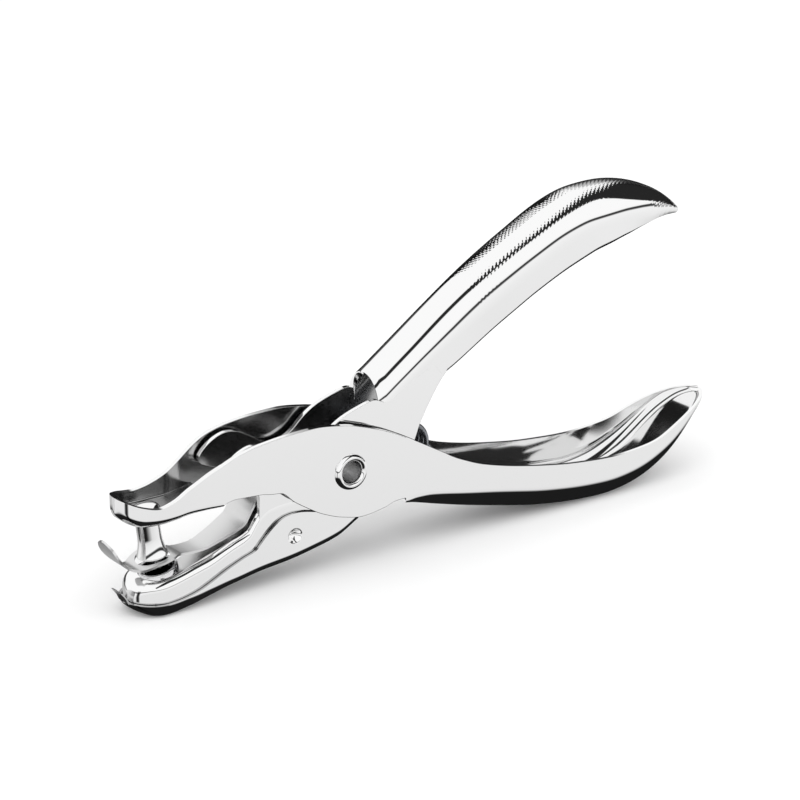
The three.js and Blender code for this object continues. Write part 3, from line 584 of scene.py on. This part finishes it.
CHEEK_SIZE = 24.0
cheek_line = [(.35, .485), (.296, .508), (.235, .5), (.167, .483), (.054, .45), (-.05, .408), (-.154, .338),
              (-.246, .246), (-.375, .19), (-.5, .208), (-.646, .308), (-.75, .36), (-.8625, .378),
              (-.98, .335), (-1.07, .265), (-1.105, .21),
              (-1.08, .15), (-.97, .11), (-.85, .06), (-.8, -.02), (-.785, -.125), (-.8, -.36), (-.84, -.55),
              (-.667, -.56), (-.52, -.55), (-.375, -.48), (-.21, -.34), (0, -.28), (.21, -.22), (.375, -.083),
              (.54, 0), (.66, .06), (.69, .13), (.715, .2), (.76, .285), (.82, .39), (.92, .54), (1.0, .62),
              (1.0, .7), (.9, .7), (.69, .62), (.41, .455)]


def outline_smooth(points, rounds):
    """Closed line with its corners cut, round by round."""
    for _ in range(rounds):
        new = []
        for k, p in enumerate(points):
            q = points[(k + 1) % len(points)]
            new.append((p[0] * .75 + q[0] * .25, p[1] * .75 + q[1] * .25))
            new.append((p[0] * .25 + q[0] * .75, p[1] * .25 + q[1] * .75))
        points = new
    return points


def plate(points, y0, y1):
    """Flat plate between two values of y."""
    n = len(points)
    verts = [(x, y0, z) for x, z in points] + [(x, y1, z) for x, z in points]
    faces = [tuple(range(n)), tuple(range(2 * n - 1, n - 1, -1))]
    faces += [(k, (k + 1) % n, n + (k + 1) % n, n + k) for k in range(n)]
    return verts, faces


def cut_round(obj, holes, sign):
    """Cut round holes along Y: each is x, z and radius."""
    for x, z, radius in holes:
        verts, faces = lathe([(0, 3), (radius, 3), (radius, 9), (0, 9)], 0, (x, z), along_y=True)
        verts = [(a, b * sign, c) for a, b, c in verts]
        apply_cut(obj, verts, faces)


line = outline_smooth([(x * CHEEK_SIZE, z * CHEEK_SIZE) for x, z in cheek_line], 2)
for side, sign in (("near", -1), ("far", 1)):
    verts, faces = plate(line, sign * INNER_HALF, sign * 4.0)
    cheek = mesh_object("inner_cheek_" + side, verts, faces, CHROME, "inner_lever", "inner", inside=SHADED_INSIDE,
                        kinds=[0, 1] + [0] * len(line))
    cut_round(cheek, [(0, 0, 2.65), (HINGE[0], HINGE[1], 1.45)], sign)
    round_edges(cheek, 0.12, 40)

# Inner lever: the lower jaw

lower_top = curve_of([(-1, -1.045), (-.93, -1.018), (-.857, -.985), (-.753, -.905), (-.657, -.833), (-.55, -.705),
                      (-.474, -.598), (-.441, -.447), (-.41, -.318), (-.37, -.242), (-.31, -.212), (-.22, -.205)],
                     LOWER_NOSE, 13.2)
lower_edge = curve_of([(-1, -.96), (-.87, -1), (-.67, -.9), (-.49, -.8), (-.36, -.725), (-.22, -.67)],
                      LOWER_NOSE, 18.2)
lower_half = curve_of([(-1, 1), (-.78, 1), (-.68, .96), (-.56, .877), (-.22, .877)], LOWER_NOSE, 5.7)
DIE_FOOT = Vector((-DIE_X, 0, lower_top(-DIE_X)))
DIE_AXIS = Vector((-math.sin(DIE_TILT), 0, math.cos(DIE_TILT)))


def lower_ring(x, inset):
    """The lower jaw's section: its web above, its flanges down."""
    tip = -LOWER_NOSE + inset
    z = lower_top(x) - 2.2 * (1 - round_end(x - tip, 3.0 - inset)) - inset
    half = (max(lower_half(x), 5.0) - inset) * round_end(x - tip, NOSE_ROUND - inset)
    pts = full_section(half_section(half, max(z - lower_edge(x), .05), 1.5 - inset, 1.5 - inset))
    return [(x, y, z - d) for y, d in pts]


def lower_xs(inset):
    nose = [-LOWER_NOSE + inset + d for d in end_distances(NOSE_ROUND - inset, 26)]
    return nose + span(-LOWER_NOSE + NOSE_ROUND + 0.3, -10.55, 0.3)


def in_die(quad):
    """Whether a face lies in the die's hole or in the pits for the tray's dimples."""
    if max(math.hypot(p[0] - HINGE[0], p[2] - HINGE[1]) for p in quad) < 2.0:
        return True
    centre = sum((Vector(p) for p in quad), Vector()) / 4 - DIE_FOOT
    return (centre - DIE_AXIS * centre.dot(DIE_AXIS)).length < 3.6


verts, faces, kinds = shell(*rings(lower_ring, lower_xs, INNER), in_die)
mesh_object("lower_jaw_shell", verts, faces, CHROME, "inner_lever", "inner", bevel=0.1)

# Chip tray

tray_rim = curve_of([(-1, -1), (-.893, -1), (-.838, -.995), (-.744, -.954), (-.623, -.845), (-.498, -.72),
                     (-.444, -.672), (-.42, -.61), (-.365, -.471), (-.322, -.394), (-.295, -.368),
                     (-.252, -.356), (-.13, -.417),
                     (.07, -.563)], TRAY_NOSE, 17.4)
tray_floor = curve_of([(-1, -.96), (-.952, -.98), (-.913, -.995), (-.854, -1), (-.76, -.967), (-.66, -.917),
                       (-.555, -.87), (-.417, -.815), (-.272, -.78), (-.17, -.741), (-.04, -.672), (.062, -.55)],
                      TRAY_NOSE, FLOOR_DROP)
tray_bend = curve_of([(-1, 1), (-.85, 1), (-.7, .8), (-.5, .55), (.07, .55)], TRAY_NOSE, 1)


def tray_ring(x, inset):
    """The tray's section: its floor below, its sides up, with the dimples pressed inwards."""
    tip = -TRAY_NOSE + inset
    turn = round_end(x - tip, NOSE_ROUND - inset)
    z = tray_floor(x) + 1.6 * (1 - turn) + inset
    half = (max(lower_half(x), 5.0) + TRAY_GAP - inset) * turn
    wide, deep = 2.2 * tray_bend(x) - inset, 2.7 * tray_bend(x) - inset
    pts = full_section(half_section(half, max(tray_rim(x) - z, .05), wide, deep, rows=80))
    ring = []
    for y, d in pts:
        p = [x, y, z + d]
        r = math.hypot(p[0] - HINGE[0], p[2] - HINGE[1])
        if r < 1.55 and abs(y) > 4:
            p[1] -= math.copysign(1.3 * max(1 - (r / 1.5) ** 2, 0.0), y)
        ring.append(tuple(p))
    return ring


def tray_xs(inset):
    """Rings along the tray, closer together at the dimples."""
    nose = [-TRAY_NOSE + inset + d for d in end_distances(NOSE_ROUND - inset, 26)]
    front, rear = span(-TRAY_NOSE + NOSE_ROUND + 0.3, -13.6, 0.35), span(-9.5, .062 * TRAY_NOSE, 0.4)
    return nose + front + span(-13.5, -9.8, 0.1) + rear


verts, faces, kinds = shell(*rings(tray_ring, tray_xs, TRAY_SHEET))
kinds = [int(any(k >= len(verts) // 2 for k in face)) for face in faces]
mesh_object("tray_shell", verts, faces, CHROME, "chip_tray", "tray", sharp=60, kinds=kinds, inside=SHADED_INSIDE)

tab_line = [(-1.036, -.745), (-1.026, -.775), (-1.012, -.82), (-1.0, -.875)]
outer, inner = [], []
for x, z in spline([(x * TRAY_NOSE, z * FLOOR_DROP) for x, z in tab_line], 6):
    outer.append([(x, -1.7 + 3.4 * k / 10, z) for k in range(11)])
    inner.append([(x + .5, -1.7 + 3.4 * k / 10, z - .15) for k in range(11)])
verts, faces, kinds = shell(outer, inner)
mesh_object("tray_tab", verts, faces, LEAF, "chip_tray", "tray", bevel=0.12)

# Turned pieces: profiles are (radius, height) from the foot

top = (jaw_floor(-PUNCH_X) - PUNCH_FOOT) / math.cos(PUNCH_TILT)
neck_top = top - 0.05 - 3 * math.tan(PUNCH_TILT)
head_foot = top + (SHEET + .05) / math.cos(PUNCH_TILT) + 2.7 * math.tan(PUNCH_TILT)
profile = [(0, 0.5), (1.4, 0.42), (2.6, 0.12), (2.92, 0.0)]
profile += [(2.25 + .75 * (1 - k / 24) ** 2, 4.0 * k / 24) for k in range(25)][1:]
profile += [(2.25, neck_top), (1.8, neck_top + .02), (1.8, head_foot)]
profile += [(2.7 * math.cos(math.pi / 2 * k / 12), head_foot + math.sin(math.pi / 2 * k / 12)) for k in range(13)]
verts, faces = lathe(profile, PUNCH_TILT, (-PUNCH_X, PUNCH_FOOT))
mesh_object("punch_form", verts, faces, CHROME, "punch_pin", "outer", bevel=0.06)

under = -(INNER + .05) / math.cos(DIE_TILT)
profile = [(3.25, under - .6), (4.25, under - .6), (4.25, under), (3.85, under), (3.85, 0.45), (3.8, 0.62),
           (3.68, .74), (3.5, .8), (3.36, .78), (3.28, .7), (3.25, .55), (3.25, under - .6)]
verts, faces = lathe(profile, DIE_TILT, (-DIE_X, lower_top(-DIE_X)))
mesh_object("die_form", verts, faces, STEEL, "die_bush", "inner", sharp=50)

# The eyelet: rolled rims beyond the cheeks' faces, its bore, and its barrel in the cheeks' holes
bore, rim_middle, rim_half, rim_high, seat = 2.1, 2.8, 0.7, 0.88, 7.12
arc = [(rim_middle + rim_half * math.cos(math.pi * k / 16), rim_high * math.sin(math.pi * k / 16)) for k in range(17)]
profile = [(r, -seat - h) for r, h in arc] + [(bore, 0.0)] + [(r, seat + h) for r, h in reversed(arc)]
profile += [(2.6, seat), (2.6, -seat), (3.5, -seat)]
verts, faces = lathe(profile, 0, (0, 0), along_y=True)
# The bore's faces take the darker look, painted shade inside the eyelet
bore_kinds = [1 if k in (16, 17) else 0 for _ in range(LATHE_STEPS) for k in range(len(profile) - 1)]
mesh_object("eyelet_form", verts, faces, CHROME, "pivot_rivet", "outer", sharp=50, kinds=bore_kinds, inside=SHADED_BORE)

# Paper stripper

# Shares of the leaf's side line and of its half width, from the lip's end to the tail
leaf_table = [(-1.26, -.468, .11), (-1.256, -.507, .41), (-1.247, -.576, .61), (-1.235, -.673, .72),
              (-1.222, -.76, .73),
              (-1.204, -.85, .68), (-1.181, -.94, .58), (-1.155, -1.02, .52), (-1.13, -1.075, .54),
              (-1.108, -1.09, .64), (-1.088, -1.08, .78), (-1.06, -1.045, .9), (-1.03, -1.01, .97), (-1, -.99, 1),
              (-.97, -.975, .97), (-.94, -.965, .89), (-.915, -.96, .76), (-.895, -.97, .62), (-.875, -.985, .55),
              (-.82, -1, .54), (-.75, -.985, .6), (-.69, -.91, .68), (-.63, -.82, .77), (-.582, -.735, .85),
              (-.546, -.655, .88), (-.523, -.53, .88), (-.505, -.42, .88), (-.475, -.283, .88), (-.434, -.248, .88)]
LEAF_HALF, LEAF_SIDE, LEAF_TAIL = 4.2, .225, -11.5  # half its width at the eye, half its sheet, its tail's end
leaf_rows = [(x * PUNCH_X, z * LEAF_DROP, h * LEAF_HALF) for x, z, h in leaf_table]
leaf_rows.append((LEAF_TAIL, lower_top(LEAF_TAIL) + .05 + LEAF_SIDE, 3.7))
side_line = spline([(x, z) for x, z, _ in leaf_rows], 6)
half_line = spline([(i, h) for i, (_, _, h) in enumerate(leaf_rows)], 6)
upper, under = [], []
for k, ((x, z), (_, h)) in enumerate(zip(side_line, half_line)):
    (ax, az), (bx, bz) = side_line[max(k - 1, 0)], side_line[min(k + 1, len(side_line) - 1)]
    size = math.hypot(bx - ax, bz - az)
    ux, uz = -(bz - az) / size * LEAF_SIDE, (bx - ax) / size * LEAF_SIDE
    across = [h * (-1 + 2 * j / 20) for j in range(21)]
    upper.append([(x + ux, y, z + uz) for y in across])
    under.append([(x - ux, y, z - uz) for y in across])
verts, faces, kinds = shell(upper, under)
leaf = mesh_object("stripper_form", verts, faces, LEAF, "paper_stripper", "inner")
eye = [(0, -2.5), (3.35, -2.5), (3.35, 2.5), (0, 2.5)]
apply_cut(leaf, *lathe(eye, math.radians(8), (-PUNCH_X, -.985 * LEAF_DROP), steps=80))

# Return spring: a coil on the wire's middle line, whose legs bear on the crown and on the handle's floor

WIRE_R, COIL_R, COIL_PITCH, COIL_TURNS, COIL_POINTS, LEG_POINTS = 0.5, 3.9, 1.46, 3, 260, 20
SEAT_X, LEG_Y = 33.0, 1.2  # where the legs end, and how far beside the middle
centre = (16.6, 0.4)
nx, nz = under_crown(SEAT_X)
reach = INNER + WIRE_R + 0.5
upper_seat = (SEAT_X + nx * reach, crown(SEAT_X) + nz * reach)
lower_seat = (SEAT_X, belly(SEAT_X) + SHEET + WIRE_R + 0.15)


def tangent(point, side):
    """Angle at which a leg to this point leaves the coil."""
    dx, dz = point[0] - centre[0], point[1] - centre[1]
    return math.atan2(dz, dx) + side * math.acos(COIL_R / math.hypot(dx, dz))


start, finish = tangent(upper_seat, 1), tangent(lower_seat, -1) - 2 * math.pi
turn = start - finish + 2 * math.pi * COIL_TURNS
length = COIL_PITCH * turn / (2 * math.pi)
coil = []
for k in range(COIL_POINTS + 1):
    share = k / COIL_POINTS
    a = start + turn * share
    coil.append(Vector((centre[0] + COIL_R * math.cos(a), length * (share - .5), centre[1] + COIL_R * math.sin(a))))
up_end = Vector((upper_seat[0], -LEG_Y, upper_seat[1]))
low_end = Vector((lower_seat[0], LEG_Y, lower_seat[1]))
path = [up_end.lerp(coil[0], k / LEG_POINTS) for k in range(LEG_POINTS)] + coil
path += [coil[-1].lerp(low_end, k / LEG_POINTS) for k in range(1, LEG_POINTS + 1)]
verts, faces, sides = [], [], 14
for k, p in enumerate(path):
    ahead = (path[min(k + 1, len(path) - 1)] - path[max(k - 1, 0)]).normalized()
    out = Vector((0, 1, 0))
    out = (out - ahead * out.dot(ahead)).normalized()
    up = ahead.cross(out)
    for j in range(sides):
        a = 2 * math.pi * j / sides
        verts.append(tuple(p + out * (WIRE_R * math.cos(a)) + up * (WIRE_R * math.sin(a))))
for k in range(len(path) - 1):
    for j in range(sides):
        n = (j + 1) % sides
        faces.append((k * sides + j, k * sides + n, (k + 1) * sides + n, (k + 1) * sides + j))
faces.append(tuple(range(sides)))
faces.append(tuple((len(path) - 1) * sides + j for j in range(sides - 1, -1, -1)))
spring = mesh_object("spring_form", verts, faces, WIRE, "return_spring", None, sharp=50)
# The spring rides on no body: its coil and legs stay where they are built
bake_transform(spring)


# Stage: floor, world and lamps

floor_mesh = bpy.data.meshes.new("floor")
floor_mesh.from_pydata([(-3, -3, 0), (3, -3, 0), (3, 3, 0), (-3, 3, 0)], [], [(0, 1, 2, 3)])
floor = add_object("floor", floor_mesh)
floor.visible_glossy = False
white = bpy.data.materials.new("floor_white")
white.use_nodes = True
sheen = white.node_tree.nodes["Principled BSDF"].inputs
sheen["Base Color"].default_value = (0.93, 0.93, 0.93, 1.0)
sheen["Roughness"].default_value = 0.9
sheen["Specular IOR Level"].default_value = 0.0
floor_mesh.materials.append(white)


def card(name, corners, tone):
    """A studio card that only the metal's reflections see, its corners in millimetres of the row frame."""
    mesh = bpy.data.meshes.new(name)
    mesh.from_pydata([[c / 1000 for c in corner] for corner in corners], [], [(0, 1, 2, 3)])
    mat = bpy.data.materials.new(name)
    mat.use_nodes = True
    shader = mat.node_tree.nodes["Principled BSDF"]
    shader.inputs["Base Color"].default_value = (0.0, 0.0, 0.0, 1.0)
    shader.inputs["Specular IOR Level"].default_value = 0.0
    shader.inputs["Emission Color"].default_value = (tone, tone, tone, 1.0)
    shader.inputs["Emission Strength"].default_value = 1.0
    mesh.materials.append(mat)
    obj = add_object(name, mesh)
    obj.visible_camera = obj.visible_diffuse = obj.visible_shadow = obj.visible_transmission = False


card("bounce_nose", [(-72, 6, 0.4), (-44, 6, 0.4), (-44, 44, 0.4), (-72, 44, 0.4)], 0.5)
card("flag_tip_a", [(14, 60, 20), (34, 60, 20), (34, 60, 110), (14, 60, 110)], 0.01)
card("flag_tip_b", [(39, 60, 20), (60, 60, 20), (60, 60, 110), (39, 60, 110)], 0.01)

# The studio that the metal mirrors: a tone for each direction, seen by mirror rays alone. The camera sees white
studio = bpy.data.worlds.new("studio")
bpy.context.scene.world = studio
studio.use_nodes = True
nodes, links = studio.node_tree.nodes, studio.node_tree.links


def calc(kind, a, b=None, c=None):
    node = nodes.new("ShaderNodeMath")
    node.operation = kind
    for slot, value in zip(node.inputs, (a, b, c)):
        if value is None:
            continue
        if isinstance(value, (int, float)):
            slot.default_value = value
        else:
            links.new(value, slot)
    return node.outputs[0]


def ramp(value, low, high, stops):
    """Tone by value: straight lines between (value, tone) stops."""
    node = nodes.new("ShaderNodeValToRGB")
    band = node.color_ramp
    while len(band.elements) > 1:
        band.elements.remove(band.elements[-1])
    for k, (at, shade) in enumerate(stops):
        spot = band.elements[0] if k == 0 else band.elements.new((at - low) / (high - low))
        spot.position = (at - low) / (high - low)
        spot.color = (shade, shade, shade, 1.0)
    links.new(calc("MULTIPLY_ADD", value, 1 / (high - low), -low / (high - low)), node.inputs["Fac"])
    return node.outputs["Color"]


def mixed(factor, a, b, kind="MIX"):
    """Two tones mixed; each is a number or a socket."""
    node = nodes.new("ShaderNodeMix")
    node.data_type = "RGBA"
    node.blend_type = kind
    for slot, value in (("Factor", factor), ("A", a), ("B", b)):
        if not isinstance(value, float):
            links.new(value, node.inputs[slot])
        elif slot == "Factor":
            node.inputs[slot].default_value = value
        else:
            node.inputs[slot].default_value = (value, value, value, 1.0)
    return node.outputs["Result"]


look = nodes.new("ShaderNodeTexCoord")
part = nodes.new("ShaderNodeSeparateXYZ")
links.new(look.outputs["Generated"], part.inputs[0])
dx, dy, dz = part.outputs
bearing = calc("ARCTAN2", dx, dy)
# Front half by height: black below, a pale table, a thin dark horizon, white above
front = ramp(dz, -1, 1, [(-0.52, 0.012), (-0.44, 0.75), (-0.34, 0.86), (-0.11, 0.94), (-0.07, 0.06), (-0.01, 0.03),
                         (0.02, 0.96), (0.10, 1.0)])
# Back half by height: dark up to well over the horizon
rear = ramp(dz, -1, 1, [(-0.3, 0.012), (0.05, 0.015), (0.18, 0.07), (0.33, 0.06), (0.42, 0.95), (0.48, 1.0)])
to_rear = ramp(bearing, -4, 4, [(-0.45, 0.0), (-0.25, 1.0), (0.85, 1.0), (1.1, 0.0)])
# A pale low band at the back, but for a narrow dark stretch. The stretch lies in line with the photograph's view
# and gives the dark outlines seen there
low_band = ramp(dz, -1, 1, [(-0.42, 0.0), (-0.36, 0.7), (-0.24, 0.7), (-0.17, 0.0)])
off_stretch = calc("ABSOLUTE", calc("SUBTRACT", bearing, 0.62))
low_band = calc("MULTIPLY", low_band, ramp(off_stretch, 0, 4, [(0.09, 0.0), (0.15, 1.0)]))
rear = calc("MAXIMUM", rear, low_band)
# Overhead: a dark gap between two soft boxes, along X and wider over the handles
roll = calc("ARCTAN2", dy, dz)
width = calc("MULTIPLY_ADD", calc("MAXIMUM", dx, -0.2), 0.35, 0.21)
width = calc("MULTIPLY_ADD", calc("MAXIMUM", calc("SUBTRACT", dx, 0.5), 0.0), 2.5, width)
width = calc("MULTIPLY_ADD", calc("MAXIMUM", calc("SUBTRACT", -0.36, dx), 0.0), -6.0, width)
aside = calc("ABSOLUTE", calc("SUBTRACT", roll, calc("MULTIPLY_ADD", dx, 1.08, -0.62)))
gap = ramp(calc("SUBTRACT", aside, width), -4, 4, [(-0.03, 0.02), (0.03, 1.0)])
# In front of the nose: a narrow dark upright below the horizon
turned = calc("ABSOLUTE", calc("ARCTAN2", dy, calc("MULTIPLY", dx, -1.0)))
narrow = ramp(turned, 0, 4, [(0.07, 0.03), (0.16, 1.0)])
upright = mixed(ramp(dz, -1, 1, [(0.0, 0.0), (0.15, 1.0)]), narrow, 1.0)

mirrored = mixed(1.0, mixed(to_rear, front, rear), mixed(1.0, gap, upright, "MULTIPLY"), "MULTIPLY")
ray = nodes.new("ShaderNodeLightPath")
by_metal = mixed(ray.outputs["Is Glossy Ray"], 0.95, mirrored)
through = calc("MAXIMUM", ray.outputs["Is Camera Ray"], ray.outputs["Is Transmission Ray"])
background = nodes["Background"].inputs
background["Strength"].default_value = 1.0
links.new(mixed(through, by_metal, 1.0), background["Color"])


def area(name, place, target, size, power):
    """A soft lamp that the metal doesn't mirror."""
    lamp = bpy.data.lights.new(name, "AREA")
    lamp.shape = "RECTANGLE"
    lamp.size, lamp.size_y = size
    lamp.energy = power
    obj = add_object(name, lamp)
    obj.location = place
    obj.rotation_mode = "QUATERNION"
    obj.rotation_quaternion = (Vector(target) - Vector(place)).to_track_quat("-Z", "Y")
    obj.visible_glossy = False


area("key", (-0.5, -0.5, 0.9), (0, 0, 0.03), (1.2, 1.0), 4.0)
area("fill", (0.7, -0.3, 0.6), (0, 0, 0.03), (1.0, 1.0), 2.0)


# Camera: where the photograph was taken from
AZIMUTH, ELEVATION = math.radians(-35.0), math.radians(20.3)
PX_PER_MM, DISTANCE = 5.35, 0.62
IMAGE_PX, SENSOR_MM = 800, 36.0
ANCHOR_PX = (350.5, 471.5)  # where the photograph shows the middle of the eyelet's near face
level = math.cos(ELEVATION)
back = Vector((math.sin(AZIMUTH) * level, -math.cos(AZIMUTH) * level, math.sin(ELEVATION)))
right = Vector((math.cos(AZIMUTH), math.sin(AZIMUTH), 0.0))
up = back.cross(right)
turn_all = Matrix.Rotation(STAND, 3, "Y")
back, right, up = turn_all @ back, turn_all @ right, turn_all @ up
anchor = PIVOT + Vector((0.0, -0.007, 0.0))
across, down = ((px - IMAGE_PX / 2) / PX_PER_MM / 1000 for px in ANCHOR_PX)
eye = anchor - right * across + up * down + back * DISTANCE
camera_data = bpy.data.cameras.new("camera")
camera_data.sensor_width = SENSOR_MM
camera_data.lens = PX_PER_MM * DISTANCE * 1000 / IMAGE_PX * SENSOR_MM
camera_data.clip_start, camera_data.clip_end = 0.01, 20.0
camera = add_object("camera", camera_data)
camera.matrix_world = Matrix((
    (right.x, up.x, back.x, eye.x),
    (right.y, up.y, back.y, eye.y),
    (right.z, up.z, back.z, eye.z),
    (0, 0, 0, 1),
))
bpy.context.scene.camera = camera
bpy.context.scene.view_settings.view_transform = "Standard"
